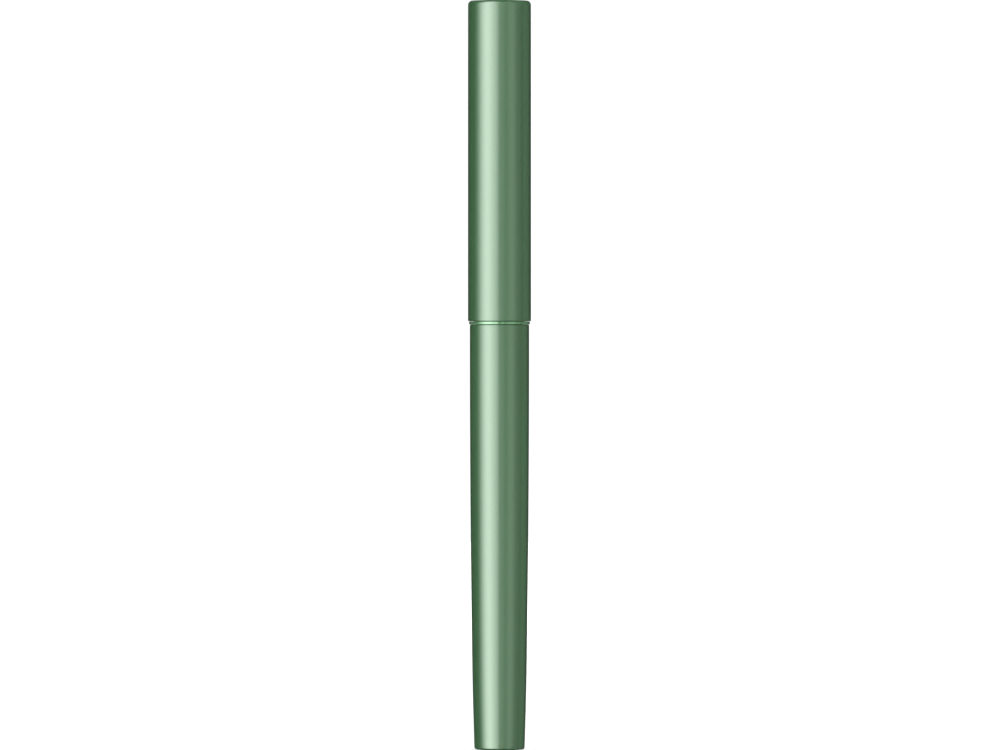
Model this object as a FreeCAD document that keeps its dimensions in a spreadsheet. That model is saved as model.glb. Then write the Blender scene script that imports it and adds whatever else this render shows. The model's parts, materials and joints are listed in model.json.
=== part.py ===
"""Capped highlighter with a drop-in fibre refill, in millimetres.

The origin is the centre of the barrel's closed end, and +Z runs up the axis to the top of the cap.
Every turned piece is a sketch of half its section, turned about its own axis.
"""

import FreeCAD
import Part
import Sketcher
import math
import os
import re

DOC = FreeCAD.newDocument("Highlighter")
SHEET = DOC.addObject("Spreadsheet::Sheet", "Dims")

DIMENSIONS = [
    # Barrel
    ("barrel_length", 79.41, "closed end to open mouth"),
    ("barrel_mouth_r", 5.525, "outside, straight part"),
    ("barrel_straight_z", 75.0, "where the straight part ends and the taper starts"),
    ("barrel_mid_z", 17.0, "where the long curve meets the tighter one"),
    ("barrel_mid_r", 5.094, "outside at that height"),
    ("barrel_long_curve_r", 3900.0, "side curve of the upper taper"),
    ("barrel_short_curve_r", 860.0, "side curve of the lower taper"),
    ("barrel_end_r", 4.683, "outside at the crown's edge"),
    ("barrel_crown", 0.18, "rise of the domed end"),
    ("barrel_end_round", 0.40, "edge radius of the closed end"),
    ("barrel_floor_z", 1.30, "inside of the closed end"),
    ("barrel_floor_r", 4.10, "bore at the closed end"),
    ("barrel_waist_r", 4.85, "bore just under the bush"),
    ("barrel_step_z", 66.0, "shoulder that the bush stands on"),
    ("barrel_bore_r", 4.97, "bore around the bush"),
    ("barrel_lip", 0.12, "chamfer at the mouth"),
    # Threaded bush in the barrel's mouth
    ("bush_z", 66.2, "lower face"),
    ("bush_length", 13.12, "height"),
    ("bush_r", 4.955, "outside"),
    ("bush_crest_r", 3.87, "thread crest"),
    ("bush_relief_r", 4.32, "clearance below and above the thread"),
    ("bush_thread_from", 1.8, "height of the lower relief"),
    ("bush_thread_to", 10.8, "height where the upper relief starts"),
    ("bush_groove_start", 1.0, "height of the first groove's centre"),
    ("bush_groove_rise", 10.625, "height that the groove climbs"),
    ("bush_groove_half_in", 0.50, "half width of the groove inside the crest"),
    ("bush_groove_half_out", 0.161, "half width of the groove at its floor"),
    ("bush_groove_in_r", 3.683, "where the cutting profile starts"),
    ("bush_groove_out_r", 4.27, "groove floor"),
    ("bush_lead", 0.25, "chamfer at both ends"),
    # Thread on the section
    ("thread_pitch", 1.25, "right-hand, single start"),
    ("thread_skip", 2.5, "height of the first ridge over the first groove"),
    ("thread_rise", 6.25, "height that the ridge climbs"),
    ("ridge_root_r", 3.65, "where the ridge profile starts inside the tenon"),
    ("ridge_crest_r", 4.15, "crest"),
    ("ridge_half_root", 0.409, "half width at the start"),
    ("ridge_half_crest", 0.12, "half width at the crest"),
    # Collar ring
    ("collar_z", 79.44, "lower face"),
    ("collar_height", 0.53, "height"),
    ("collar_r", 5.665, "outside"),
    ("collar_bore_r", 3.95, "bore"),
    ("collar_round", 0.06, "edge radius"),
    # Section
    ("section_z", 79.99, "underside of the flange"),
    ("tenon_length", 11.69, "flange to the lower end"),
    ("tenon_r", 3.75, "shank of the thread"),
    ("tenon_lead", 0.30, "chamfer at the lower end"),
    ("spigot_length", 1.09, "flange to the end of the collar's seat"),
    ("spigot_r", 3.87, "seat of the collar ring"),
    ("flange_r", 4.85, "outside under the cap"),
    ("flange_length", 6.2, "height"),
    ("flange_round", 0.15, "edge radius of the flange"),
    ("clutch_groove_from", 2.91, "height of the clutch groove's lower side"),
    ("clutch_groove_to", 3.91, "height of its upper side"),
    ("clutch_groove_r", 4.38, "groove floor"),
    ("grip_waist_z", 9.0, "height where the neck becomes the straight grip"),
    ("grip_neck_curve_r", 8.95, "hollow curve from the flange to the grip"),
    ("grip_r", 4.40, "grip"),
    ("grip_straight_to", 25.5, "height where the grip starts to close in"),
    ("grip_nose_curve_r", 57.4, "side curve toward the nose"),
    ("section_front", 32.0, "height of the front face"),
    ("section_front_r", 4.03, "outside of the front face"),
    ("section_bore_r", 3.30, "bore around the refill"),
    ("nose_socket_r", 3.53, "bore around the nose cone's spigot"),
    ("nose_socket_from", 26.0, "height of the socket's floor"),
    ("ring_groove_z", 11.5, "height of the first grip groove"),
    ("ring_groove_step", 1.6, "spacing of the grip grooves"),
    ("ring_groove_count", 9, "number of grip grooves"),
    ("ring_groove_cut_r", 0.42, "radius of the round cutter"),
    ("ring_groove_depth", 0.14, "depth"),
    # O-rings
    ("tenon_seal_z", 78.3, "centre height"),
    ("tenon_seal_mean_r", 4.02, "ring"),
    ("tenon_seal_wire_r", 0.26, "section"),
    ("nose_seal_z", 113.11, "centre height"),
    ("nose_seal_mean_r", 3.785, "ring"),
    ("nose_seal_wire_r", 0.32, "section"),
    # Clutch ring
    ("clutch_z", 83.0, "lower face"),
    ("clutch_height", 0.80, "height"),
    ("clutch_r", 4.93, "outside"),
    ("clutch_bore_r", 4.41, "bore"),
    ("clutch_arc", 342.0, "degrees of ring, the rest is its gap"),
    ("clutch_round", 0.15, "edge radius outside"),
    # Nose cone
    ("nose_z", 108.0, "end of the spigot"),
    ("nose_spigot_r", 3.51, "spigot"),
    ("nose_bore_r", 2.75, "bore around the nib holder"),
    ("nose_shoulder", 4.01, "height of the shoulder on the section"),
    ("nose_base_r", 3.95, "outside of the base"),
    ("nose_groove_from", 4.70, "height of the seal groove's lower side"),
    ("nose_groove_to", 5.52, "height of its upper side"),
    ("nose_groove_r", 3.46, "groove floor"),
    ("nose_base_to", 6.0, "height where the cone starts"),
    ("nose_tip", 9.8, "height of the front"),
    ("nose_tip_r", 3.02, "outside at the front"),
    ("nose_curve_r", 8.3, "side curve of the cone"),
    ("nose_round", 0.10, "edge radius at the front"),
    # Refill
    ("refill_z", 18.0, "rear end of the tube"),
    ("refill_length", 89.97, "tube"),
    ("refill_r", 3.20, "tube outside"),
    ("refill_bore_r", 2.90, "tube inside"),
    ("crimp_depth", 0.08, "depth of the rolled crimps"),
    ("crimp_half", 0.35, "half height of a crimp"),
    ("crimp_rear", 3.0, "height of the rear crimp"),
    ("crimp_front", 86.6, "height of the front crimp"),
    ("core_z", 24.0, "rear end of the fibre core"),
    ("core_length", 77.0, "core"),
    ("core_r", 2.73, "core outside"),
    ("core_socket_r", 1.24, "hole that takes the nib's tail"),
    ("core_socket_depth", 5.2, "depth of that hole"),
    ("wrap_bore_r", 2.75, "film inside"),
    ("wrap_r", 2.86, "film outside"),
    ("plug_z", 12.4, "end of the plug's tail"),
    ("plug_tail_r", 1.50, "tail that guides the spring"),
    ("plug_tail_length", 2.6, "tail"),
    ("plug_flange_to", 5.55, "height of the flange's upper side"),
    ("plug_top", 10.0, "height of the plug's front"),
    ("plug_r", 2.87, "part inside the tube"),
    ("plug_vent_r", 0.45, "air hole"),
    ("plug_lead", 0.25, "chamfer at the tail"),
    # Nib holder and nib
    ("holder_z", 101.3, "rear end"),
    ("holder_rear_r", 2.87, "part inside the tube"),
    ("holder_step", 6.6, "height of the step"),
    ("holder_front_r", 2.65, "part inside the nose cone"),
    ("holder_length", 17.1, "rear end to front"),
    ("holder_lead", 0.35, "chamfer at the front"),
    ("holder_slot_half_x", 2.13, "slot, half width"),
    ("holder_slot_half_y", 1.33, "slot, half thickness"),
    ("holder_slot_round", 0.45, "slot corner radius"),
    ("vent_half", 0.40, "vent groove, half width"),
    ("vent_floor", 2.15, "vent groove floor from the axis"),
    ("vent_out", 3.40, "outer side of the cutting profile"),
    ("nib_z", 101.05, "rear of the flat part"),
    ("nib_length", 22.45, "flat part"),
    ("nib_half_x", 2.10, "half width"),
    ("nib_half_y", 1.30, "half thickness"),
    ("nib_round", 0.45, "corner radius"),
    ("nib_slant", 2.9, "drop of the chisel cut across the width"),
    ("nib_margin", 1.0, "how far the cutting profile reaches past the nib"),
    ("nib_edge_round", 0.22, "edge radius of the chisel cut"),
    ("nib_tail_r", 1.20, "tail in the fibre core"),
    ("nib_tail_length", 5.0, "tail"),
    ("nib_tail_tip_r", 0.70, "tip of the tail"),
    # Springs and their seats
    ("seat_z", 1.32, "lower face of the rear seat"),
    ("seat_r", 4.08, "outside"),
    ("seat_height", 1.90, "disc"),
    ("seat_boss_r", 1.50, "boss inside the spring"),
    ("seat_boss_top", 3.70, "height of the boss"),
    ("rear_spring_z", 3.24, "lower end"),
    ("rear_spring_length", 11.74, "free height in place"),
    ("rear_spring_mean_r", 2.20, "coil"),
    ("rear_spring_wire_r", 0.28, "wire"),
    ("rear_spring_turns", 6.5, "coils"),
    ("cap_seat_z", 137.9, "lower face of the disc in the cap's top"),
    ("cap_seat_height", 0.83, "disc"),
    ("cap_seat_r", 5.25, "outside"),
    ("cap_seat_boss_r", 2.10, "boss inside the spring"),
    ("cap_seat_boss", 1.70, "boss, below the disc"),
    ("cap_spring_z", 130.52, "lower end"),
    ("cap_spring_length", 7.36, "free height in place"),
    ("cap_spring_mean_r", 2.60, "coil"),
    ("cap_spring_wire_r", 0.28, "wire"),
    ("cap_spring_turns", 4.5, "coils"),
    # Cap
    ("cap_z", 80.02, "mouth"),
    ("cap_length", 59.98, "mouth to crown"),
    ("cap_r", 5.875, "outside"),
    ("cap_bore_r", 5.455, "inside"),
    ("cap_floor", 58.73, "height of the closed end's inside"),
    ("cap_crown", 0.20, "rise of the domed top"),
    ("cap_edge_round", 0.74, "edge radius of the top"),
    ("cap_lip", 0.10, "chamfer at the mouth"),
    ("liner_z", 80.6, "lower end of the liner"),
    ("liner_length", 31.3, "liner"),
    ("liner_r", 5.435, "outside"),
    ("liner_bore_r", 4.95, "bore on the flange"),
    ("liner_wide_r", 5.10, "bore above the flange"),
    ("liner_wide_from", 7.4, "height where the bore widens"),
    ("liner_snap_from", 2.1, "height of the snap groove's lower side"),
    ("liner_snap_to", 3.5, "height of its upper side"),
    ("liner_snap_r", 5.05, "snap groove floor"),
    ("liner_lead_r", 5.17, "bore at the mouth"),
    ("liner_lead", 0.35, "height of the mouth's chamfer"),
    ("inner_cap_z", 111.94, "mouth of the inner cap"),
    ("inner_flange_r", 5.38, "stop flange"),
    ("inner_flange_to", 1.35, "height of the stop flange"),
    ("inner_r", 4.80, "outside"),
    ("inner_shoulder", 17.7, "height where the top's chamfer starts"),
    ("inner_top", 18.56, "height of the top"),
    ("inner_top_r", 4.05, "outside of the top face"),
    ("inner_boss_r", 2.10, "boss inside the spring"),
    ("inner_boss_top", 20.3, "height of the boss"),
    ("inner_mouth_r", 4.13, "bore on the nose seal"),
    ("inner_mouth_to", 3.1, "height where the bore starts to close in"),
    ("inner_throat_r", 3.80, "bore at the end of that taper"),
    ("inner_throat_to", 6.6, "height of that end"),
    ("inner_end_r", 3.60, "bore at the ceiling"),
    ("inner_ceiling", 17.4, "height of the ceiling"),
    ("inner_round", 0.60, "edge radius of the ceiling"),
]


def fill_sheet():
    for row, (alias, value, note) in enumerate(DIMENSIONS, 1):
        SHEET.set("A%d" % row, alias)
        SHEET.set("B%d" % row, str(value))
        SHEET.setAlias("B%d" % row, alias)
        SHEET.set("C%d" % row, note)
    DOC.recompute()


def size(text):
    """The present value of an expression in the sheet's words."""
    return float(SHEET.evalExpression(text))


def bound(text):
    """The same expression as another object writes it."""
    return re.sub(r"[a-z][a-z_]*", r"Dims.\g<0>", text)


def piece(label, height="0"):
    """An empty body standing at a height on the axis."""
    body = DOC.addObject("PartDesign::Body", label)
    body.Label = label
    body.setExpression("Placement.Base.z", bound(height))
    return body


def origin_feature(body, role):
    return [f for f in body.Origin.OriginFeatures if f.Role == role][0]


def new_sketch(body, name, plane):
    sketch = body.newObject("Sketcher::SketchObject", name)
    sketch.AttachmentSupport = (origin_feature(body, plane), [""])
    sketch.MapMode = "FlatFace"
    return sketch


def pin_point(sketch, geo, end, across, up):
    """Hold one point of a sketch at two bound distances from the sketch's origin."""
    for kind, text, axis, letter in (("DistanceX", across, -2, "x"), ("DistanceY", up, -1, "y")):
        if abs(size(text)) < 1e-9:
            sketch.addConstraint(Sketcher.Constraint("PointOnObject", geo, end, axis))
            continue
        made = sketch.addConstraint(Sketcher.Constraint(kind, -1, 1, geo, end, size(text)))
        name = "%s%d_%d" % (letter, geo, end)
        sketch.renameConstraint(made, name)
        sketch.setExpression("Constraints." + name, bound(text))


def arc_between(first, last, radius, side):
    """The short arc between two points, and which of its ends each point is."""
    chord = last - first
    left = FreeCAD.Vector(-chord.y, chord.x, 0).normalize()
    middle = (first + last) * 0.5
    reach = math.sqrt(radius**2 - (chord.Length / 2) ** 2)
    centre = middle + left * (side * reach)
    start, stop = (first, last) if side > 0 else (last, first)
    from_angle = math.atan2(start.y - centre.y, start.x - centre.x)
    to_angle = math.atan2(stop.y - centre.y, stop.x - centre.x)
    circle = Part.Circle(centre, FreeCAD.Vector(0, 0, 1), radius)
    ends = (1, 2) if side > 0 else (2, 1)
    return Part.ArcOfCircle(circle, from_angle, to_angle), ends


def crown_radius(first, last):
    """Radius of an arc that is centred on the axis and has one end there."""
    half = max(abs(first.x), abs(last.x))
    rise = abs(first.y - last.y)
    return (half**2 + rise**2) / (2 * rise)


def outline(body, name, corners, plane="XZ_Plane"):
    """A closed sketch through corners (across, up).

    A corner (across, up, bend, side) starts an arc instead of a line: bend is its radius, or "axis" for
    a crown centred on the axis, and side is 1 for a centre on the left and -1 for one on the right.
    """
    sketch = new_sketch(body, name, plane)
    points = [FreeCAD.Vector(size(c[0]), size(c[1]), 0) for c in corners]
    ends = []
    for number, corner in enumerate(corners):
        first, last = points[number], points[(number + 1) % len(points)]
        if len(corner) == 2:
            sketch.addGeometry(Part.LineSegment(first, last))
            ends.append((1, 2))
            continue
        crowned = corner[2] == "axis"
        radius = crown_radius(first, last) if crowned else size(corner[2])
        arc, arc_ends = arc_between(first, last, radius, corner[3])
        sketch.addGeometry(arc)
        ends.append(arc_ends)
    for number in range(len(corners)):
        after = (number + 1) % len(corners)
        joined = Sketcher.Constraint("Coincident", number, ends[number][1], after, ends[after][0])
        sketch.addConstraint(joined)
    for number, corner in enumerate(corners):
        pin_point(sketch, number, ends[number][0], corner[0], corner[1])
        if len(corner) == 2:
            continue
        if corner[2] == "axis":
            sketch.addConstraint(Sketcher.Constraint("PointOnObject", number, 3, -2))
            continue
        made = sketch.addConstraint(Sketcher.Constraint("Radius", number, size(corner[2])))
        sketch.renameConstraint(made, "bend%d" % number)
        sketch.setExpression("Constraints.bend%d" % number, bound(corner[2]))
    return sketch


def round_profile(body, name, across, up, radius):
    """A sketch of one circle in the plane of the axis."""
    sketch = new_sketch(body, name, "XZ_Plane")
    centre = FreeCAD.Vector(size(across), size(up), 0)
    sketch.addGeometry(Part.Circle(centre, FreeCAD.Vector(0, 0, 1), size(radius)))
    pin_point(sketch, 0, 3, across, up)
    made = sketch.addConstraint(Sketcher.Constraint("Radius", 0, size(radius)))
    sketch.renameConstraint(made, "bend")
    sketch.setExpression("Constraints.bend", bound(radius))
    return sketch


def turn(body, name, sketch, kind="PartDesign::Revolution"):
    """Turn a sketch fully about the body's axis."""
    turned = body.newObject(kind, name)
    turned.Profile = sketch
    turned.ReferenceAxis = (sketch, ["V_Axis"])
    turned.Angle = 360
    DOC.recompute()
    return turned


def coil(body, name, sketch, kind, pitch, rise):
    """Sweep a sketch up a right-hand helix about the body's axis."""
    swept = body.newObject(kind, name)
    swept.Profile = sketch
    swept.ReferenceAxis = (sketch, ["V_Axis"])
    swept.Mode = "pitch-height-angle"
    swept.LeftHanded = False
    swept.setExpression("Pitch", bound(pitch))
    swept.setExpression("Height", bound(rise))
    DOC.recompute()
    return swept


def rims(feature, places):
    """Names of the circular edges of a feature at each (radius, height)."""
    found = []
    for across, up in places:
        for number, edge in enumerate(feature.Shape.Edges, 1):
            if edge.Degenerated or not isinstance(edge.Curve, Part.Circle):
                continue
            curve = edge.Curve
            near = abs(curve.Radius - size(across)) < 1e-4 and abs(curve.Center.z - size(up)) < 1e-4
            if near:
                found.append("Edge%d" % number)
    return found


def soften(body, name, feature, edges, radius):
    """Round some edges of a feature."""
    fillet = body.newObject("PartDesign::Fillet", name)
    fillet.Base = (feature, edges)
    fillet.setExpression("Radius", bound(radius))
    DOC.recompute()
    return fillet


def make_barrel_shell():
    """Thin tube, domed and closed below, straight at the mouth and gently barrelled toward the end."""
    body = piece("barrel_shell")
    wall = outline(
        body,
        "BarrelWall",
        [
            ("0", "0", "axis", 1),
            ("barrel_end_r", "barrel_crown", "barrel_short_curve_r", 1),
            ("barrel_mid_r", "barrel_mid_z", "barrel_long_curve_r", 1),
            ("barrel_mouth_r", "barrel_straight_z"),
            ("barrel_mouth_r", "barrel_length - barrel_lip"),
            ("barrel_mouth_r - barrel_lip", "barrel_length"),
            ("barrel_bore_r", "barrel_length"),
            ("barrel_bore_r", "barrel_step_z"),
            ("barrel_waist_r", "barrel_step_z"),
            ("barrel_floor_r", "barrel_floor_z"),
            ("0", "barrel_floor_z"),
        ],
    )
    turned = turn(body, "BarrelTurned", wall)
    edge = rims(turned, [("barrel_end_r", "barrel_crown")])
    soften(body, "BarrelEndRound", turned, edge, "barrel_end_round")


def make_barrel_bush():
    """Metal insert with the female thread between two reliefs."""
    body = piece("barrel_bush", "bush_z")
    wall = outline(
        body,
        "BushWall",
        [
            ("bush_relief_r", "0"),
            ("bush_r - bush_lead", "0"),
            ("bush_r", "bush_lead"),
            ("bush_r", "bush_length - bush_lead"),
            ("bush_r - bush_lead", "bush_length"),
            ("bush_relief_r", "bush_length"),
            ("bush_relief_r", "bush_thread_to"),
            ("bush_crest_r", "bush_thread_to"),
            ("bush_crest_r", "bush_thread_from"),
            ("bush_relief_r", "bush_thread_from"),
        ],
    )
    turn(body, "BushTurned", wall)
    groove = outline(
        body,
        "BushGroove",
        [
            ("bush_groove_in_r", "bush_groove_start - bush_groove_half_in"),
            ("bush_groove_out_r", "bush_groove_start - bush_groove_half_out"),
            ("bush_groove_out_r", "bush_groove_start + bush_groove_half_out"),
            ("bush_groove_in_r", "bush_groove_start + bush_groove_half_in"),
        ],
    )
    coil(body, "BushThread", groove, "PartDesign::SubtractiveHelix", "thread_pitch", "bush_groove_rise")


def make_spring_seat():
    """Disc with a boss in the barrel's closed end."""
    body = piece("spring_seat", "seat_z")
    wall = outline(
        body,
        "SeatWall",
        [
            ("0", "0"),
            ("seat_r", "0"),
            ("seat_r", "seat_height"),
            ("seat_boss_r", "seat_height"),
            ("seat_boss_r", "seat_boss_top"),
            ("0", "seat_boss_top"),
        ],
    )
    turn(body, "SeatTurned", wall)


def make_spring(label, prefix):
    """Round wire wound on a helix, its ends level with the spring's height."""
    body = piece(label, prefix + "_z")
    wire = prefix + "_wire_r"
    climb = "(%s_length - 2 * %s)" % (prefix, wire)
    profile = round_profile(body, label + "_wire", prefix + "_mean_r", wire, wire)
    coil(body, label + "_coil", profile, "PartDesign::AdditiveHelix", climb + " / " + prefix + "_turns", climb)


def make_collar_ring():
    """Narrow polished ring between the barrel and the cap."""
    body = piece("collar_ring", "collar_z")
    wall = outline(
        body,
        "CollarWall",
        [
            ("collar_bore_r", "0"),
            ("collar_r", "0"),
            ("collar_r", "collar_height"),
            ("collar_bore_r", "collar_height"),
        ],
    )
    turned = turn(body, "CollarTurned", wall)
    edges = rims(turned, [("collar_r", "0"), ("collar_r", "collar_height")])
    soften(body, "CollarRound", turned, edges, "collar_round")


def make_grip_section():
    """Tenon with the male thread below the flange, and the grip above it."""
    body = piece("grip_section", "section_z")
    wall = outline(
        body,
        "SectionWall",
        [
            ("section_bore_r", "-tenon_length"),
            ("tenon_r - tenon_lead", "-tenon_length"),
            ("tenon_r", "tenon_lead - tenon_length"),
            ("tenon_r", "-spigot_length"),
            ("spigot_r", "-spigot_length"),
            ("spigot_r", "0"),
            ("flange_r", "0"),
            ("flange_r", "clutch_groove_from"),
            ("clutch_groove_r", "clutch_groove_from"),
            ("clutch_groove_r", "clutch_groove_to"),
            ("flange_r", "clutch_groove_to"),
            ("flange_r", "flange_length", "grip_neck_curve_r", -1),
            ("grip_r", "grip_waist_z"),
            ("grip_r", "grip_straight_to", "grip_nose_curve_r", 1),
            ("section_front_r", "section_front"),
            ("nose_socket_r", "section_front"),
            ("nose_socket_r", "nose_socket_from"),
            ("section_bore_r", "nose_socket_from"),
        ],
    )
    turned = turn(body, "SectionTurned", wall)
    edges = rims(turned, [("flange_r", "0"), ("flange_r", "clutch_groove_to")])
    soften(body, "FlangeRound", turned, edges, "flange_round")
    ridge_z = "bush_z + bush_groove_start + thread_skip - section_z"
    ridge = outline(
        body,
        "ThreadRidge",
        [
            ("ridge_root_r", ridge_z + " - ridge_half_root"),
            ("ridge_crest_r", ridge_z + " - ridge_half_crest"),
            ("ridge_crest_r", ridge_z + " + ridge_half_crest"),
            ("ridge_root_r", ridge_z + " + ridge_half_root"),
        ],
    )
    coil(body, "SectionThread", ridge, "PartDesign::AdditiveHelix", "thread_pitch", "thread_rise")
    cutter_r = "grip_r - ring_groove_depth + ring_groove_cut_r"
    cutter = round_profile(body, "GripCutter", cutter_r, "ring_groove_z", "ring_groove_cut_r")
    groove = turn(body, "GripGroove", cutter, "PartDesign::Groove")
    pattern = body.newObject("PartDesign::LinearPattern", "GripGrooves")
    pattern.Originals = [groove]
    pattern.Direction = (origin_feature(body, "Z_Axis"), [""])
    pattern.setExpression("Length", bound("(ring_groove_count - 1) * ring_groove_step"))
    pattern.setExpression("Occurrences", bound("ring_groove_count"))
    body.Tip = pattern
    DOC.recompute()


def make_o_ring(label, prefix):
    """Round rubber ring."""
    body = piece(label, prefix + "_z")
    profile = round_profile(body, label + "_round", prefix + "_mean_r", "0", prefix + "_wire_r")
    turn(body, label + "_turned", profile)


def make_clutch_ring():
    """Split spring ring in the section's groove; the cap snaps over it."""
    body = piece("clutch_ring", "clutch_z")
    wall = outline(
        body,
        "ClutchWall",
        [
            ("clutch_bore_r", "0"),
            ("clutch_r", "0"),
            ("clutch_r", "clutch_height"),
            ("clutch_bore_r", "clutch_height"),
        ],
    )
    turned = turn(body, "ClutchTurned", wall)
    turned.setExpression("Angle", bound("clutch_arc"))
    DOC.recompute()
    edges = rims(turned, [("clutch_r", "0"), ("clutch_r", "clutch_height")])
    soften(body, "ClutchRound", turned, edges, "clutch_round")


def make_nose_cone():
    """Polished tip of the section, with a spigot behind and a groove for the seal."""
    body = piece("nose_cone", "nose_z")
    wall = outline(
        body,
        "NoseWall",
        [
            ("nose_bore_r", "0"),
            ("nose_spigot_r", "0"),
            ("nose_spigot_r", "nose_shoulder"),
            ("nose_base_r", "nose_shoulder"),
            ("nose_base_r", "nose_groove_from"),
            ("nose_groove_r", "nose_groove_from"),
            ("nose_groove_r", "nose_groove_to"),
            ("nose_base_r", "nose_groove_to"),
            ("nose_base_r", "nose_base_to", "nose_curve_r", 1),
            ("nose_tip_r", "nose_tip"),
            ("nose_bore_r", "nose_tip"),
        ],
    )
    turned = turn(body, "NoseTurned", wall)
    soften(body, "NoseRound", turned, rims(turned, [("nose_tip_r", "nose_tip")]), "nose_round")


def crimp(centre):
    """Corners of a shallow rolled groove in the refill tube, going up."""
    return [
        ("refill_r", centre + " - crimp_half"),
        ("refill_r - crimp_depth", centre),
        ("refill_r", centre + " + crimp_half"),
    ]


def make_refill_tube():
    """Wall of the refill, with a rolled crimp over the plug and one over the nib holder."""
    body = piece("refill_tube", "refill_z")
    corners = [("refill_bore_r", "0"), ("refill_r", "0")]
    corners += crimp("crimp_rear") + crimp("crimp_front")
    corners += [("refill_r", "refill_length"), ("refill_bore_r", "refill_length")]
    turn(body, "TubeTurned", outline(body, "TubeWall", corners))


def make_ink_core():
    """Fibre rod with a blind hole for the nib's tail."""
    body = piece("ink_core", "core_z")
    wall = outline(
        body,
        "CoreWall",
        [
            ("0", "0"),
            ("core_r", "0"),
            ("core_r", "core_length"),
            ("core_socket_r", "core_length"),
            ("core_socket_r", "core_length - core_socket_depth"),
            ("0", "core_length - core_socket_depth"),
        ],
    )
    turn(body, "CoreTurned", wall)


def make_core_wrap():
    """Film sleeve around the fibre core."""
    body = piece("core_wrap", "core_z")
    wall = outline(
        body,
        "WrapWall",
        [("wrap_bore_r", "0"), ("wrap_r", "0"), ("wrap_r", "core_length"), ("wrap_bore_r", "core_length")],
    )
    turn(body, "WrapTurned", wall)


def make_refill_plug():
    """Rear plug with a tail for the spring, a flange on the tube's end and an air hole."""
    body = piece("refill_plug", "plug_z")
    wall = outline(
        body,
        "PlugWall",
        [
            ("plug_vent_r", "0"),
            ("plug_tail_r - plug_lead", "0"),
            ("plug_tail_r", "plug_lead"),
            ("plug_tail_r", "plug_tail_length"),
            ("refill_r", "plug_tail_length"),
            ("refill_r", "plug_flange_to"),
            ("plug_r", "plug_flange_to"),
            ("plug_r", "plug_top"),
            ("plug_vent_r", "plug_top"),
        ],
    )
    turn(body, "PlugTurned", wall)


def slot_corners(half_x, half_y, bend):
    """Corners of a rounded rectangle about the axis."""
    inner_x = "(%s - %s)" % (half_x, bend)
    inner_y = "(%s - %s)" % (half_y, bend)
    return [
        (inner_x, "-" + half_y, bend, 1),
        (half_x, "-" + inner_y),
        (half_x, inner_y, bend, 1),
        (inner_x, half_y),
        ("-" + inner_x, half_y, bend, 1),
        ("-" + half_x, inner_y),
        ("-" + half_x, "-" + inner_y, bend, 1),
        ("-" + inner_x, "-" + half_y),
    ]


def cut_through(body, name, sketch):
    """Pocket a sketch on the base plane up through the whole body."""
    before = body.Shape.Volume
    pocket = body.newObject("PartDesign::Pocket", name)
    pocket.Profile = sketch
    pocket.Type = "ThroughAll"
    pocket.Reversed = True
    DOC.recompute()
    if not body.Shape.Volume < before - 1e-3:
        raise RuntimeError(name + " cuts nothing")
    return pocket


def make_nib_holder():
    """Holder with a slot for the nib and two vent grooves along its flanks."""
    body = piece("nib_holder", "holder_z")
    wall = outline(
        body,
        "HolderWall",
        [
            ("0", "0"),
            ("holder_rear_r", "0"),
            ("holder_rear_r", "holder_step"),
            ("holder_front_r", "holder_step"),
            ("holder_front_r", "holder_length - holder_lead"),
            ("holder_front_r - holder_lead", "holder_length"),
            ("0", "holder_length"),
        ],
    )
    turn(body, "HolderTurned", wall)
    corners = slot_corners("holder_slot_half_x", "holder_slot_half_y", "holder_slot_round")
    cut_through(body, "HolderSlot", outline(body, "SlotOutline", corners, "XY_Plane"))
    vent = outline(
        body,
        "VentOutline",
        [
            ("-vent_half", "vent_floor"),
            ("vent_half", "vent_floor"),
            ("vent_half", "vent_out"),
            ("-vent_half", "vent_out"),
        ],
        "XY_Plane",
    )
    cut = cut_through(body, "HolderVent", vent)
    pattern = body.newObject("PartDesign::PolarPattern", "HolderVents")
    pattern.Originals = [cut]
    pattern.Axis = (origin_feature(body, "Z_Axis"), [""])
    pattern.Angle = 360
    pattern.Occurrences = 2
    body.Tip = pattern
    DOC.recompute()


def make_nib():
    """Flat felt nib with a slanted chisel end and a pointed tail."""
    body = piece("nib", "nib_z")
    flat = outline(body, "NibOutline", slot_corners("nib_half_x", "nib_half_y", "nib_round"), "XY_Plane")
    pad = body.newObject("PartDesign::Pad", "NibFlat")
    pad.Profile = flat
    pad.setExpression("Length", bound("nib_length"))
    DOC.recompute()
    tail = outline(
        body,
        "NibTail",
        [
            ("0", "-nib_tail_length"),
            ("nib_tail_tip_r", "-nib_tail_length"),
            ("nib_tail_r", "nib_tail_tip_r - nib_tail_length"),
            ("nib_tail_r", "nib_margin"),
            ("0", "nib_margin"),
        ],
    )
    turn(body, "NibTailTurned", tail)
    past = "nib_slant * nib_margin / (2 * nib_half_x)"
    chisel = outline(
        body,
        "ChiselOutline",
        [
            ("-(nib_half_x + nib_margin)", "nib_length - nib_slant - " + past),
            ("nib_half_x + nib_margin", "nib_length + " + past),
            ("-(nib_half_x + nib_margin)", "nib_length + " + past),
        ],
    )
    before = body.Shape.Volume
    cut = body.newObject("PartDesign::Pocket", "ChiselCut")
    cut.Profile = chisel
    cut.Type = "ThroughAll"
    cut.Midplane = True
    DOC.recompute()
    if not body.Shape.Volume < before - 1:
        raise RuntimeError("the chisel cut misses the nib")
    low = size("nib_length - nib_slant") - 1e-3
    edges = []
    for number, edge in enumerate(cut.Shape.Edges, 1):
        if min(vertex.Z for vertex in edge.Vertexes) > low:
            edges.append("Edge%d" % number)
    soften(body, "ChiselRound", cut, edges, "nib_edge_round")


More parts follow.
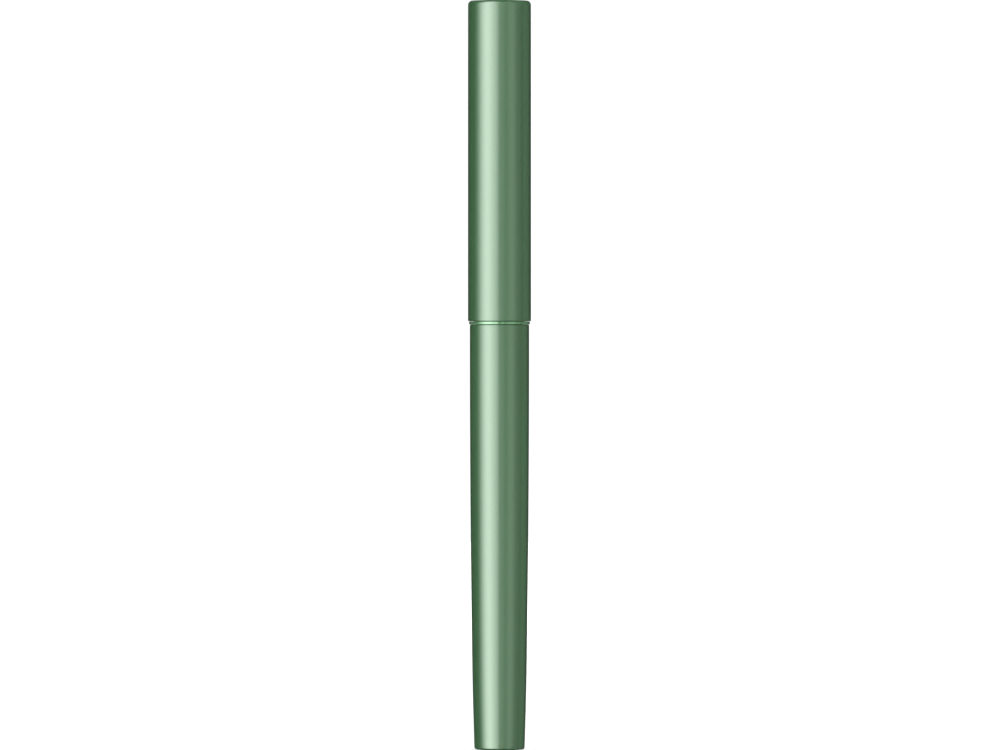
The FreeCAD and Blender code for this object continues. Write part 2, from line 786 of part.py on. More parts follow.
def make_cap_shell():
    """Straight thin tube, domed and closed on top."""
    body = piece("cap_shell", "cap_z")
    wall = outline(
        body,
        "CapWall",
        [
            ("cap_bore_r", "0"),
            ("cap_r - cap_lip", "0"),
            ("cap_r", "cap_lip"),
            ("cap_r", "cap_length - cap_crown", "axis", 1),
            ("0", "cap_length"),
            ("0", "cap_floor"),
            ("cap_bore_r", "cap_floor"),
        ],
    )
    turned = turn(body, "CapTurned", wall)
    edge = rims(turned, [("cap_r", "cap_length - cap_crown")])
    soften(body, "CapEdgeRound", turned, edge, "cap_edge_round")


def make_cap_liner():
    """Plastic sleeve in the cap, with a chamfered mouth and a snap groove for the clutch ring."""
    body = piece("cap_liner", "liner_z")
    wall = outline(
        body,
        "LinerWall",
        [
            ("liner_lead_r", "0"),
            ("liner_r", "0"),
            ("liner_r", "liner_length"),
            ("liner_wide_r", "liner_length"),
            ("liner_wide_r", "liner_wide_from"),
            ("liner_bore_r", "liner_wide_from - liner_lead"),
            ("liner_bore_r", "liner_snap_to"),
            ("liner_snap_r", "liner_snap_to"),
            ("liner_snap_r", "liner_snap_from"),
            ("liner_bore_r", "liner_snap_from"),
            ("liner_bore_r", "liner_lead"),
        ],
    )
    turn(body, "LinerTurned", wall)


def make_inner_cap():
    """Cup that closes on the nose seal, with a stop flange below and a spring boss on top."""
    body = piece("inner_cap", "inner_cap_z")
    wall = outline(
        body,
        "InnerWall",
        [
            ("inner_mouth_r", "0"),
            ("inner_flange_r", "0"),
            ("inner_flange_r", "inner_flange_to"),
            ("inner_r", "inner_flange_to"),
            ("inner_r", "inner_shoulder"),
            ("inner_top_r", "inner_top"),
            ("inner_boss_r", "inner_top"),
            ("inner_boss_r", "inner_boss_top"),
            ("0", "inner_boss_top"),
            ("0", "inner_ceiling"),
            ("inner_end_r", "inner_ceiling"),
            ("inner_throat_r", "inner_throat_to"),
            ("inner_mouth_r", "inner_mouth_to"),
        ],
    )
    turned = turn(body, "InnerTurned", wall)
    soften(body, "InnerCeilingRound", turned, rims(turned, [("inner_end_r", "inner_ceiling")]), "inner_round")


def make_cap_spring_seat():
    """Disc in the cap's closed end, with a boss that points down into the spring."""
    body = piece("cap_spring_seat", "cap_seat_z")
    wall = outline(
        body,
        "CapSeatWall",
        [
            ("0", "-cap_seat_boss"),
            ("cap_seat_boss_r", "-cap_seat_boss"),
            ("cap_seat_boss_r", "0"),
            ("cap_seat_r", "0"),
            ("cap_seat_r", "cap_seat_height"),
            ("0", "cap_seat_height"),
        ],
    )
    turn(body, "CapSeatTurned", wall)


def check_and_export():
    """Stop on any failed object, then write each body to its own file."""
    DOC.recompute()
    for thing in DOC.Objects:
        if "Invalid" in thing.State or "Error" in thing.State:
            raise RuntimeError(thing.Name + " failed: " + ", ".join(thing.State))
    bodies = [thing for thing in DOC.Objects if thing.TypeId == "PartDesign::Body"]
    for body in bodies:
        if body.Shape.isNull() or not body.Shape.isValid() or len(body.Shape.Solids) != 1:
            raise RuntimeError(body.Label + " is not one valid solid")
    os.makedirs("parts", exist_ok=True)
    for body in bodies:
        body.Shape.exportStep("parts/" + body.Label + ".step")
        print("%-18s %9.2f mm3" % (body.Label, body.Shape.Volume))


fill_sheet()
make_barrel_shell()
make_barrel_bush()
make_spring_seat()
make_spring("refill_spring", "rear_spring")
make_collar_ring()
make_grip_section()
make_o_ring("tenon_seal", "tenon_seal")
make_clutch_ring()
make_nose_cone()
make_o_ring("nose_seal", "nose_seal")
make_refill_tube()
make_core_wrap()
make_ink_core()
make_nib_holder()
make_nib()
make_refill_plug()
make_cap_shell()
make_cap_liner()
make_inner_cap()
make_spring("inner_cap_spring", "cap_spring")
make_cap_spring_seat()
check_and_export()
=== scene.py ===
"""Looks of the capped highlighter: finishes, springs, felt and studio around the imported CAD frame."""

import bpy
import json
import math
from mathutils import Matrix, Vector

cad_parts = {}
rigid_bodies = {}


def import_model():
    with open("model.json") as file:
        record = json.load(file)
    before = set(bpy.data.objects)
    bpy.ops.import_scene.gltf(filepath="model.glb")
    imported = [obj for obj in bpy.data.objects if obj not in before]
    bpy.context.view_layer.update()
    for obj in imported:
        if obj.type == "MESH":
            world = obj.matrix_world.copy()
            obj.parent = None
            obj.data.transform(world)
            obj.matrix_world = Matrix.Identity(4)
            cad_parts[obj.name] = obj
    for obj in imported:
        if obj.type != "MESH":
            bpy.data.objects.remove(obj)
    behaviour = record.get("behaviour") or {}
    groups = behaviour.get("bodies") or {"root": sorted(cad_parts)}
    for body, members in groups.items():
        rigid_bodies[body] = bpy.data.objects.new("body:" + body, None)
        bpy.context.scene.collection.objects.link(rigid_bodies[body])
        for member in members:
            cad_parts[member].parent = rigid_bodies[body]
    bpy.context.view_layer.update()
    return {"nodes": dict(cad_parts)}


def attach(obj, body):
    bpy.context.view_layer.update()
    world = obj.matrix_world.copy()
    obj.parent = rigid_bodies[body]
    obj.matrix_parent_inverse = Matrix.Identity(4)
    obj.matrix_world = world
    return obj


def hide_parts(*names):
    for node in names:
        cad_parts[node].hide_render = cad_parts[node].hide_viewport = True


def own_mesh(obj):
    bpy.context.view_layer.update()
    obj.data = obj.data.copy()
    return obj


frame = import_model()
nodes = frame["nodes"]

MM = 0.001
PEN_LENGTH = 140 * MM
ROUND = 192

# Outside of the two shells, in mm from the barrel's closed end
BARREL_LENGTH = 79.41
BARREL_MOUTH_R = 5.525
BARREL_STRAIGHT_Z = 75.0
BARREL_MID_Z = 17.0
BARREL_MID_R = 5.094
BARREL_LONG_CURVE = 3900.0
BARREL_SHORT_CURVE = 860.0
BARREL_END_R = 4.683
BARREL_CROWN = 0.18
BARREL_END_ROUND = 0.40
BARREL_LIP = 0.12
CAP_MOUTH_Z = 80.02
CAP_TOP_Z = 140.0
CAP_R = 5.875
CAP_CROWN = 0.20
CAP_EDGE_ROUND = 0.74
CAP_LIP = 0.10

# Points of a curve this close to the rounded edge beside it are left out
JOIN = 0.02

# Inside of the two shells
BARREL_FLOOR_Z = 1.3
BARREL_FLOOR_R = 4.10
BARREL_WAIST_R = 4.85
BARREL_STEP_Z = 66.0
BARREL_BORE_R = 4.97
CAP_FLOOR_Z = 138.75
CAP_BORE_R = 5.455

# Springs: heights of the low and high end of each coil, coil radii and wire radius
REAR_SPRING_LOW, REAR_SPRING_HIGH = 3.24, 14.98
REAR_COIL_R = 2.20
CAP_SPRING_LOW, CAP_SPRING_HIGH = 130.52, 137.88
CAP_COIL_R = 2.60
WIRE_R = 0.28

# Felt nib
NIB_HALF_X, NIB_HALF_Y = 2.10, 1.30
NIB_BEND = 0.45
NIB_BASE_Z, NIB_BODY_TOP, NIB_TOP_Z = 101.05, 118.4, 123.5
NIB_SLANT = 2.9


# ---------------------------------------------------------------- shader helpers


def new_material(name):
    mat = bpy.data.materials.new(name)
    mat.use_nodes = True
    tree = mat.node_tree
    return mat, tree, tree.nodes["Principled BSDF"]


def add(tree, kind, **values):
    node = tree.nodes.new(kind)
    for key, value in values.items():
        setattr(node, key, value)
    return node


def noise(tree, scale, detail=2.0, rough=0.5, stretch=(1, 1, 1)):
    """Noise on the piece's own coordinates; scale is in cells per metre."""
    where = add(tree, "ShaderNodeTexCoord")
    mapping = add(tree, "ShaderNodeMapping")
    mapping.inputs["Scale"].default_value = stretch
    grain = add(tree, "ShaderNodeTexNoise")
    grain.inputs["Scale"].default_value = scale
    grain.inputs["Detail"].default_value = detail
    grain.inputs["Roughness"].default_value = rough
    tree.links.new(where.outputs["Object"], mapping.inputs["Vector"])
    tree.links.new(mapping.outputs["Vector"], grain.inputs["Vector"])
    return grain


def ramp(tree, source, stops):
    """Colour ramp of (position, colour) stops driven by a value."""
    node = add(tree, "ShaderNodeValToRGB")
    elements = node.color_ramp.elements
    for element, (position, colour) in zip(elements, (stops[0], stops[-1])):
        element.position = position
        element.color = (*colour, 1)
    for position, colour in stops[1:-1]:
        elements.new(position).color = (*colour, 1)
    tree.links.new(source, node.inputs["Fac"])
    return node


def spread(tree, source, low, high):
    """A value between low and high, following a 0 to 1 source."""
    node = add(tree, "ShaderNodeMapRange")
    node.inputs["To Min"].default_value = low
    node.inputs["To Max"].default_value = high
    tree.links.new(source, node.inputs["Value"])
    return node.outputs["Result"]


def bump(tree, shader, source, height, strength=1.0):
    node = add(tree, "ShaderNodeBump")
    node.inputs["Distance"].default_value = height
    node.inputs["Strength"].default_value = strength
    tree.links.new(source, node.inputs["Height"])
    tree.links.new(node.outputs["Normal"], shader.inputs["Normal"])


def tint(colour, factor):
    return tuple(min(1.0, c * factor) for c in colour)


def grained(
    name, colour, metallic, roughness, cells, height, vary=0.06, rough_vary=0.04, coat=None, ior=1.5
):
    """A finish with a fine grain in colour, roughness and relief; coat is (weight, roughness, IOR)."""
    mat, tree, shader = new_material(name)
    grain = noise(tree, cells, 2.0, 0.6)
    cloud = noise(tree, cells * 0.06, 2.0, 0.5)
    darker, lighter = tint(colour, 1 - vary), tint(colour, 1 + vary)
    colours = ramp(tree, grain.outputs["Fac"], [(0.3, darker), (0.7, lighter)])
    tree.links.new(colours.outputs["Color"], shader.inputs["Base Color"])
    rough = spread(tree, cloud.outputs["Fac"], roughness - rough_vary, roughness + rough_vary)
    tree.links.new(rough, shader.inputs["Roughness"])
    shader.inputs["Metallic"].default_value = metallic
    shader.inputs["IOR"].default_value = ior
    bump(tree, shader, grain.outputs["Fac"], height)
    if coat:
        shader.inputs["Coat Weight"].default_value = coat[0]
        shader.inputs["Coat Roughness"].default_value = coat[1]
        shader.inputs["Coat IOR"].default_value = coat[2]
    return mat


# ---------------------------------------------------------------- finishes

SATIN_GREEN = (0.034, 0.128, 0.041)
POLISHED_GREEN = (0.140, 0.310, 0.157)
FLUO_GREEN = (0.30, 0.90, 0.06)

satin_shell = grained(
    "satin_shell", SATIN_GREEN, 0.5, 0.38, 9000, 0.0000012, 0.10, 0.02, coat=(1.0, 0.28, 2.0), ior=2.0
)
blasted_crown = grained("blasted_crown", SATIN_GREEN, 0.3, 0.62, 9000, 0.0000016, 0.10, 0.03)
polished_collar = grained(
    "polished_collar", POLISHED_GREEN, 0.6, 0.24, 6000, 0.0000004, 0.04, 0.02, coat=(1.0, 0.06, 1.8)
)
graphite_grip = grained("graphite_grip", (0.035, 0.037, 0.036), 0.0, 0.55, 7000, 0.000006, 0.15, 0.05)
bright_nose = grained("bright_nose", (0.80, 0.81, 0.82), 1.0, 0.13, 3000, 0.0000004, 0.02, 0.03)
seal_rubber = grained("seal_rubber", (0.015, 0.015, 0.016), 0.0, 0.62, 5000, 0.000004, 0.2, 0.06)
dark_plastic = grained("dark_plastic", (0.030, 0.034, 0.032), 0.0, 0.45, 6000, 0.000004, 0.12, 0.06)
holder_plastic = grained("holder_plastic", (0.045, 0.048, 0.046), 0.0, 0.42, 6000, 0.000004, 0.10, 0.05)
refill_white = grained("refill_white", (0.78, 0.79, 0.76), 0.0, 0.30, 2500, 0.000002, 0.02, 0.06)
brass_insert = grained("brass_insert", (0.66, 0.47, 0.20), 1.0, 0.28, 4000, 0.000002, 0.05, 0.06)
spring_steel = grained("spring_steel", (0.52, 0.53, 0.54), 1.0, 0.26, 8000, 0.000002, 0.06, 0.06)

milky_plastic = grained("milky_plastic", (0.74, 0.78, 0.72), 0.0, 0.38, 2500, 0.000003, 0.02, 0.05)
milky = milky_plastic.node_tree.nodes["Principled BSDF"]
milky.inputs["Subsurface Weight"].default_value = 0.35
milky.inputs["Subsurface Scale"].default_value = 0.0015

core_film = grained("core_film", (0.60, 0.86, 0.45), 0.0, 0.15, 1500, 0.000003, 0.03, 0.05)
film = core_film.node_tree.nodes["Principled BSDF"]
film.inputs["Alpha"].default_value = 0.35


def fibrous(name, colour, cells, stretch, height):
    """Ink-soaked fibres that run along the axis."""
    mat, tree, shader = new_material(name)
    strands = noise(tree, cells, 4.0, 0.6, stretch)
    soak = noise(tree, cells * 0.12, 3.0, 0.55)
    colours = ramp(
        tree,
        strands.outputs["Fac"],
        [(0.25, tint(colour, 0.62)), (0.5, colour), (0.78, tint(colour, 1.25))],
    )
    mixed = add(tree, "ShaderNodeMix", data_type="RGBA", blend_type="MULTIPLY")
    mixed.inputs["Factor"].default_value = 0.5
    patches = ramp(tree, soak.outputs["Fac"], [(0.3, (0.78, 0.86, 0.70)), (0.7, (1.0, 1.0, 1.0))])
    tree.links.new(colours.outputs["Color"], mixed.inputs["A"])
    tree.links.new(patches.outputs["Color"], mixed.inputs["B"])
    tree.links.new(mixed.outputs["Result"], shader.inputs["Base Color"])
    shader.inputs["Roughness"].default_value = 0.85
    shader.inputs["Sheen Weight"].default_value = 0.35
    shader.inputs["Subsurface Weight"].default_value = 0.25
    shader.inputs["Subsurface Scale"].default_value = 0.0008
    bump(tree, shader, strands.outputs["Fac"], height)
    return mat


inked_felt = fibrous("inked_felt", FLUO_GREEN, 7000, (1, 1, 0.25), 0.00003)
inked_fibre = fibrous("inked_fibre", (0.24, 0.74, 0.06), 6000, (1, 1, 0.05), 0.00002)

FINISH = {
    "collar_ring": polished_collar,
    "barrel_bush": brass_insert,
    "spring_seat": dark_plastic,
    "grip_section": graphite_grip,
    "tenon_seal": seal_rubber,
    "nose_cone": bright_nose,
    "nose_seal": seal_rubber,
    "clutch_ring": spring_steel,
    "refill_tube": refill_white,
    "core_wrap": core_film,
    "ink_core": inked_fibre,
    "nib_holder": holder_plastic,
    "refill_plug": dark_plastic,
    "cap_liner": dark_plastic,
    "inner_cap": milky_plastic,
    "cap_spring_seat": dark_plastic,
}


def dress(obj, mat):
    """Give a CAD node its finish through the object's own slots."""
    if not obj.material_slots:
        obj.data.materials.append(None)
    for place in obj.material_slots:
        place.link = "OBJECT"
        place.material = mat


for node_name, mat in FINISH.items():
    dress(nodes[node_name], mat)


# ---------------------------------------------------------------- mesh helpers


def mesh_object(name, verts, faces, mat, sharp_deg=35):
    mesh = bpy.data.meshes.new(name)
    mesh.from_pydata(verts, [], faces)
    mesh.update()
    mesh.materials.append(mat)
    for poly in mesh.polygons:
        poly.use_smooth = True
    obj = bpy.data.objects.new(name, mesh)
    bpy.context.scene.collection.objects.link(obj)
    mesh.set_sharp_from_angle(angle=math.radians(sharp_deg))
    return obj


def sweep(centre, radius, start, stop, steps):
    """Points of the short arc about a centre, from the direction of start to that of stop."""
    (cx, cz), (r0, z0), (r1, z1) = centre, start, stop
    a0 = math.atan2(z0 - cz, r0 - cx)
    a1 = math.atan2(z1 - cz, r1 - cx)
    if a1 - a0 > math.pi:
        a1 -= 2 * math.pi
    if a0 - a1 > math.pi:
        a1 += 2 * math.pi
    angles = [a0 + (a1 - a0) * i / steps for i in range(steps + 1)]
    return [(cx + radius * math.cos(a), cz + radius * math.sin(a)) for a in angles]


def arc(first, last, radius, steps):
    """Points of the short arc from first to last, its centre on the left."""
    (r0, z0), (r1, z1) = first, last
    half = math.hypot(r1 - r0, z1 - z0) / 2
    nx, nz = -(z1 - z0) / (2 * half), (r1 - r0) / (2 * half)
    reach = math.sqrt(radius * radius - half * half)
    centre = ((r0 + r1) / 2 + nx * reach, (z0 + z1) / 2 + nz * reach)
    return sweep(centre, radius, first, last, steps)


def unit(a, b):
    """Direction from a to b, with length one."""
    length = math.hypot(b[0] - a[0], b[1] - a[1])
    return ((b[0] - a[0]) / length, (b[1] - a[1]) / length)


def rounded_corner(before, corner, after, radius, steps=8):
    """Replace a corner of a profile by a tangent arc."""
    u, v = unit(corner, before), unit(corner, after)
    half = math.acos(max(-1, min(1, u[0] * v[0] + u[1] * v[1]))) / 2
    reach = radius / math.tan(half)
    away = radius / math.sin(half)
    middle = unit((0, 0), (u[0] + v[0], u[1] + v[1]))
    centre = (corner[0] + middle[0] * away, corner[1] + middle[1] * away)
    start = (corner[0] + u[0] * reach, corner[1] + u[1] * reach)
    stop = (corner[0] + v[0] * reach, corner[1] + v[1] * reach)
    return sweep(centre, radius, start, stop, steps)


def lathe(name, profile, mat, sharp_deg=35):
    """Turn a closed loop of (r, z) points in mm about the axis; a point on the axis is one vertex."""
    verts, rings = [], []
    for r, z in profile:
        if r < 1e-6:
            rings.append([len(verts)])
            verts.append((0, 0, z * MM))
            continue
        start = len(verts)
        for i in range(ROUND):
            a = 2 * math.pi * i / ROUND
            verts.append((r * MM * math.cos(a), r * MM * math.sin(a), z * MM))
        rings.append(list(range(start, start + ROUND)))
    faces = []
    for k, ring in enumerate(rings):
        after = rings[(k + 1) % len(rings)]
        if len(ring) == 1 and len(after) == 1:
            continue
        for i in range(ROUND):
            j = (i + 1) % ROUND
            if len(ring) == 1:
                faces.append((ring[0], after[j], after[i]))
            elif len(after) == 1:
                faces.append((ring[i], ring[j], after[0]))
            else:
                faces.append((ring[i], ring[j], after[j], after[i]))
    return mesh_object(name, verts, faces, mat, sharp_deg)


# ---------------------------------------------------------------- shells


def crown_arc(edge_r, edge_z, top_z, steps=14):
    """Dome from its rim to the axis."""
    rise = abs(top_z - edge_z)
    radius = (edge_r**2 + rise**2) / (2 * rise)
    points = []
    for i in range(steps + 1):
        r = edge_r * (1 - i / steps)
        drop = radius - math.sqrt(radius * radius - r * r)
        points.append((r, top_z - drop if top_z > edge_z else top_z + drop))
    return points


def barrel_profile():
    """Tapered tube with a crowned end, up the outside and down the inside."""
    low = arc((BARREL_END_R, BARREL_CROWN), (BARREL_MID_R, BARREL_MID_Z), BARREL_SHORT_CURVE, 20)
    high = arc((BARREL_MID_R, BARREL_MID_Z), (BARREL_MOUTH_R, BARREL_STRAIGHT_Z), BARREL_LONG_CURVE, 40)
    dome = crown_arc(BARREL_END_R, BARREL_CROWN, 0.0)
    corner = rounded_corner(dome[2], low[0], low[2], BARREL_END_ROUND)
    outside = [p for p in dome[::-1] if p[0] < corner[0][0] - JOIN] + corner
    outside += [p for p in low if p[1] > corner[-1][1] + JOIN] + high[1:]
    mouth = [(BARREL_MOUTH_R, BARREL_LENGTH - BARREL_LIP), (BARREL_MOUTH_R - BARREL_LIP, BARREL_LENGTH)]
    bore = [(BARREL_BORE_R, BARREL_LENGTH), (BARREL_BORE_R, BARREL_STEP_Z)]
    taper = [(BARREL_WAIST_R, BARREL_STEP_Z), (BARREL_FLOOR_R, BARREL_FLOOR_Z), (0.0, BARREL_FLOOR_Z)]
    return outside + mouth + bore + taper


def cap_profile():
    """Straight tube from its mouth, up the outside, over the crown and down the inside."""
    rim = (CAP_R, CAP_TOP_Z - CAP_CROWN)
    dome = crown_arc(CAP_R, rim[1], CAP_TOP_Z)
    corner = rounded_corner((CAP_R, CAP_MOUTH_Z), rim, dome[2], CAP_EDGE_ROUND, 14)
    side = [(CAP_R, z) for z in (CAP_MOUTH_Z + CAP_LIP, 84.0, 96.0, 108.0, 120.0, 132.0)]
    mouth = [(CAP_BORE_R, CAP_MOUTH_Z), (CAP_R - CAP_LIP, CAP_MOUTH_Z)]
    top = [p for p in dome if p[0] < corner[-1][0] - JOIN]
    inside = [(0.0, CAP_FLOOR_Z), (CAP_BORE_R, CAP_FLOOR_Z)]
    return mouth + side + corner + top + inside


barrel_body = lathe("barrel_body", barrel_profile(), satin_shell)
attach(barrel_body, "barrel")
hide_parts("barrel_shell")

cap_body = lathe("cap_body", cap_profile(), satin_shell)

# The crown is rougher than the tube and has no coat
cap_body.data.materials.append(blasted_crown)
for face in cap_body.data.polygons:
    if face.center.z > (CAP_TOP_Z - CAP_CROWN) * MM:
        face.material_index = 1
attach(cap_body, "cap")
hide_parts("cap_shell")


# ---------------------------------------------------------------- springs


def spring(name, low, high, mean_r, turns, sides=14, per_turn=40):
    """Round wire wound with one closed coil at each end and open turns between."""
    closed_rise = 2 * WIRE_R * 0.98
    total = turns + 2
    steps = int(total * per_turn)
    open_rise = ((high - low) - 2 * WIRE_R - 2 * closed_rise) / turns

    def height(t):
        if t < 1:
            return WIRE_R + t * closed_rise
        if t > total - 1:
            return (high - low) - WIRE_R - (total - t) * closed_rise
        return WIRE_R + closed_rise + (t - 1) * open_rise

    verts, faces = [], []
    for k in range(steps + 1):
        t = total * k / steps
        a = 2 * math.pi * t
        out = Vector((math.cos(a), math.sin(a), 0))
        here = out * mean_r + Vector((0, 0, low + height(t)))
        for i in range(sides):
            b = 2 * math.pi * i / sides
            p = here + out * (WIRE_R * math.cos(b)) + Vector((0, 0, WIRE_R * math.sin(b)))
            verts.append(tuple(p * MM))
    for k in range(steps):
        a, b = k * sides, (k + 1) * sides
        for i in range(sides):
            j = (i + 1) % sides
            faces.append((a + i, b + i, b + j, a + j))
    faces.append(tuple(range(sides)))
    faces.append(tuple(range(len(verts) - 1, len(verts) - 1 - sides, -1)))
    return mesh_object(name, verts, faces, spring_steel, 50)


rear_spring = spring("rear_spring_coil", REAR_SPRING_LOW, REAR_SPRING_HIGH, REAR_COIL_R, 5.0)
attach(rear_spring, "barrel")
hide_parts("refill_spring")
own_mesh(rear_spring)

cap_spring = spring("cap_spring_coil", CAP_SPRING_LOW, CAP_SPRING_HIGH, CAP_COIL_R, 3.0)
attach(cap_spring, "cap")
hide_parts("inner_cap_spring")
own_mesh(cap_spring)


# ---------------------------------------------------------------- felt nib


def nib_outline(per_corner=7):
    """Rounded rectangle of the felt bar."""
    outline = []
    for cx, cy, start in ((1, -1, -90), (1, 1, 0), (-1, 1, 90), (-1, -1, 180)):
        for i in range(per_corner):
            a = math.radians(start + 90 * i / (per_corner - 1))
            x = cx * (NIB_HALF_X - NIB_BEND) + NIB_BEND * math.cos(a)
            y = cy * (NIB_HALF_Y - NIB_BEND) + NIB_BEND * math.sin(a)
            outline.append((x, y))
    return outline


def cut_height(x):
    """Height of the chisel cut across the width."""
    return NIB_TOP_Z - NIB_SLANT * (NIB_HALF_X - x) / (2 * NIB_HALF_X)


def felt_nib():
    """Chisel nib: a rounded bar with worn edges at its cut, and a round tail in the fibre core."""
    outline = nib_outline()
    n = len(outline)
    body = NIB_BODY_TOP - NIB_BASE_Z
    rings = [[(x, y, NIB_BASE_Z + f * body) for x, y in outline] for f in (0, 0.4, 0.8, 1.0)]
    for depth, s in ((1.6, 1.0), (0.8, 1.0), (0.30, 1.0), (0.14, 0.975), (0.04, 0.93)):
        rings.append([(x * s, y * s, cut_height(x) - depth) for x, y in outline])
    for s in (0.72, 0.4):
        rings.append([(x * s, y * s, cut_height(x * s)) for x, y in outline])
    verts = [p for ring in rings for p in ring]
    faces = []
    for k in range(len(rings) - 1):
        for i in range(n):
            j = (i + 1) % n
            faces.append((k * n + i, k * n + j, (k + 1) * n + j, (k + 1) * n + i))
    last, middle = len(verts) - n, len(verts)
    verts.append((0, 0, cut_height(0)))
    for i in range(n):
        faces.append((last + i, last + (i + 1) % n, middle))

    tip, tail = middle + 1, middle + 2
    verts.append((0, 0, NIB_BASE_Z - 5.0))
    for r, below in ((0.7, 5.0), (1.2, 4.3), (1.2, 0.0)):
        for x, y in outline:
            a = math.atan2(y, x)
            verts.append((r * math.cos(a), r * math.sin(a), NIB_BASE_Z - below))
    for i in range(n):
        j = (i + 1) % n
        faces.append((tip, tail + j, tail + i))
        faces.append((tail + i, tail + j, tail + n + j, tail + n + i))
        faces.append((tail + n + i, tail + n + j, tail + 2 * n + j, tail + 2 * n + i))
        faces.append((tail + 2 * n + i, tail + 2 * n + j, j, i))
    return mesh_object("felt_nib", [(x * MM, y * MM, z * MM) for x, y, z in verts], faces, inked_felt, 50)


nib = felt_nib()
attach(nib, "refill")
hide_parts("nib")


# ---------------------------------------------------------------- studio


def glow(name, colour, stops, strength):
    """Emission that changes across a card; stops are (fraction across, level)."""
    mat = bpy.data.materials.new(name)
    mat.use_nodes = True
    tree = mat.node_tree
    tree.nodes.clear()
    out = add(tree, "ShaderNodeOutputMaterial")
    light = add(tree, "ShaderNodeEmission")
    where = add(tree, "ShaderNodeUVMap", uv_map="across")
    parts = add(tree, "ShaderNodeSeparateXYZ")
    tree.links.new(where.outputs["UV"], parts.inputs["Vector"])
    levels = ramp(tree, parts.outputs["X"], [(f, (v, v, v)) for f, v in stops])
    scaled = add(tree, "ShaderNodeMath", operation="MULTIPLY")
    scaled.inputs[1].default_value = strength
    tree.links.new(levels.outputs["Color"], scaled.inputs[0])
    tree.links.new(scaled.outputs["Value"], light.inputs["Strength"])
    light.inputs["Color"].default_value = (*colour, 1)
    tree.links.new(light.outputs["Emission"], out.inputs["Surface"])
    return mat


def curved_card(name, from_deg, to_deg, radius, low, high, mat, steps=48):
    """Upright sheet on a circle about the pen; 0 degrees is at the camera, positive to its right."""
    verts, faces, across = [], [], []
    for i in range(steps + 1):
        a = math.radians(from_deg + (to_deg - from_deg) * i / steps)
        for z in (low, high):
            verts.append((radius * math.sin(a), -radius * math.cos(a), z))
    for i in range(steps):
        faces.append((2 * i, 2 * i + 1, 2 * i + 3, 2 * i + 2))
        across += [(i / steps, 0), (i / steps, 1), ((i + 1) / steps, 1), ((i + 1) / steps, 0)]
    mesh = bpy.data.meshes.new(name)
    mesh.from_pydata(verts, [], faces)
    layer = mesh.uv_layers.new(name="across")
    for loop, uv in zip(layer.data, across):
        loop.uv = uv
    mesh.materials.append(mat)
    card = bpy.data.objects.new(name, mesh)
    bpy.context.scene.collection.objects.link(card)
    card.visible_camera = False
    card.visible_shadow = False
    card.light_linking.receiver_collection = pen_only
    return card


pen_only = bpy.data.collections.new("lit_by_the_cards")
for obj in bpy.context.scene.objects:
    if obj.type == "MESH":
        pen_only.objects.link(obj)

FLOOR_DROP = 0.00005
CARD_R = 1.0
CARD_LOW, CARD_HIGH = -1.3, 2.4
NEUTRAL = (1, 1, 1)
COOL_GREEN = (0.88, 1.0, 0.88)
LEAF_GREEN = (0.70, 1.0, 0.72)


def soft_level(angle, boxes):
    """Light toward the pen from soft-edged boxes of (centre, reach, level); angles in degrees."""
    total = 0.0
    for centre, reach, level in boxes:
        away = abs(angle - centre) / reach
        if away < 1:
            total += level * (1 + math.cos(math.pi * away)) / 2
    return total


def softbox_card(name, colour, first, last, boxes, stops=25):
    """Card from one angle to another that glows as its soft boxes say."""
    shares = [i / (stops - 1) for i in range(stops)]
    levels = [soft_level(first + (last - first) * f, boxes) for f in shares]
    peak = max(levels)
    mat = glow(name + "_light", colour, [(f, v / peak) for f, v in zip(shares, levels)], peak)
    return curved_card(name, first, last, CARD_R, CARD_LOW, CARD_HIGH, mat)


# Key: a broad box on the left, with a narrow one near the camera that gives the highlight its shoulder
softbox_card("key_card", NEUTRAL, -98, -4, [(-45, 53, 3.65), (-10, 13, 1.25)])
# Fill: a strip near the camera, a weaker box on the right, and a strip at the side
softbox_card("fill_card", COOL_GREEN, 6, 86, [(10, 12, 1.0), (46, 38, 0.87), (92, 24, 0.85)])
# Rear: what the edges of the pen mirror
softbox_card("rear_right_card", LEAF_GREEN, 96, 150, [(92, 30, 0.55), (124, 34, 0.28)])
softbox_card("rear_left_card", NEUTRAL, -150, -106, [(-128, 44, 0.06)])


def rear_panel(name, low, high, level):
    """Sheet behind the pen that only its two domed ends mirror."""
    mat = glow(name + "_light", NEUTRAL, [(0.0, 1.0), (0.5, 0.55), (1.0, 1.0)], level)
    return curved_card(name, 158, 202, CARD_R, low, high, mat)


rear_panel("rear_high_panel", 0.18, 0.42, 0.6)
rear_panel("rear_low_panel", -0.30, -0.04, 0.6)

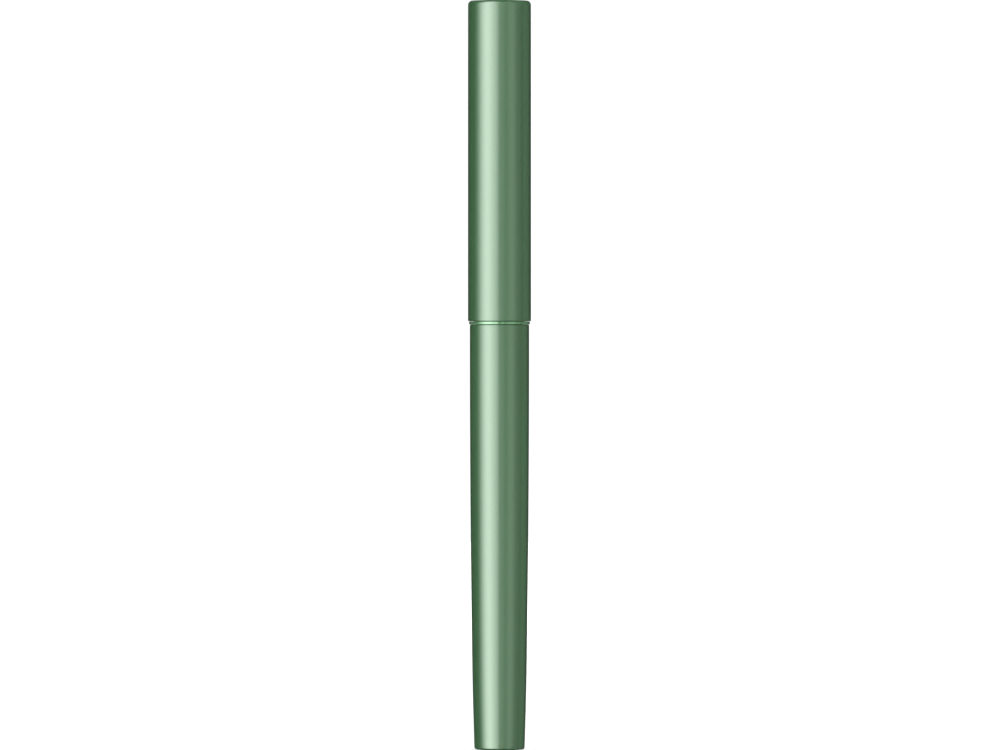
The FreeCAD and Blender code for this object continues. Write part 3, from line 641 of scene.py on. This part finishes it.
floor_mat = grained("pale_floor", (0.94, 0.94, 0.935), 0.0, 0.7, 60, 0.0002, 0.01, 0.03)
floor_mesh = bpy.data.meshes.new("floor")
reach = 3.0
corners = [(-reach, -reach, 0), (reach, -reach, 0), (reach, reach, 0), (-reach, reach, 0)]
floor_mesh.from_pydata(corners, [], [(0, 1, 2, 3)])
floor_mesh.materials.append(floor_mat)
floor = bpy.data.objects.new("floor", floor_mesh)
floor.location.z = -FLOOR_DROP
bpy.context.scene.collection.objects.link(floor)
floor.visible_glossy = False
floor.visible_shadow = False

floor_only = bpy.data.collections.new("lit_by_the_overhead")
floor_only.objects.link(floor)

overhead = bpy.data.lights.new("overhead", "AREA")
overhead.shape = "DISK"
overhead.size = 6.0
overhead.energy = 130
overhead_obj = bpy.data.objects.new("overhead", overhead)
overhead_obj.location = (0, 0, 1.6)
overhead_obj.visible_camera = False
overhead_obj.light_linking.receiver_collection = floor_only
bpy.context.scene.collection.objects.link(overhead_obj)

downlight = bpy.data.lights.new("downlight", "SUN")
downlight.angle = math.radians(12)
downlight.energy = 3.0
downlight_obj = bpy.data.objects.new("downlight", downlight)
downlight_obj.visible_glossy = False
downlight_obj.light_linking.receiver_collection = pen_only
bpy.context.scene.collection.objects.link(downlight_obj)

world = bpy.data.worlds.new("studio")
bpy.context.scene.world = world
world.use_nodes = True
sky = world.node_tree.nodes["Background"]
sky.inputs["Color"].default_value = (1, 1, 1, 1)
sky.inputs["Strength"].default_value = 1.06
world.cycles_visibility.glossy = False

# ---------------------------------------------------------------- camera

CAMERA_DISTANCE = 2.4
CAMERA_ASIDE = 0.000097
VIEW_WIDTH = 0.18662

lens = bpy.data.cameras.new("camera")
lens.sensor_width = 36
lens.lens = 36 * CAMERA_DISTANCE / VIEW_WIDTH
lens.clip_start = 0.1
lens.clip_end = 20
camera = bpy.data.objects.new("camera", lens)
camera.location = (CAMERA_ASIDE, -CAMERA_DISTANCE, PEN_LENGTH / 2)
camera.rotation_euler = (math.radians(90), 0, 0)
bpy.context.scene.collection.objects.link(camera)
bpy.context.scene.camera = camera
bpy.context.scene.view_settings.view_transform = "Standard"
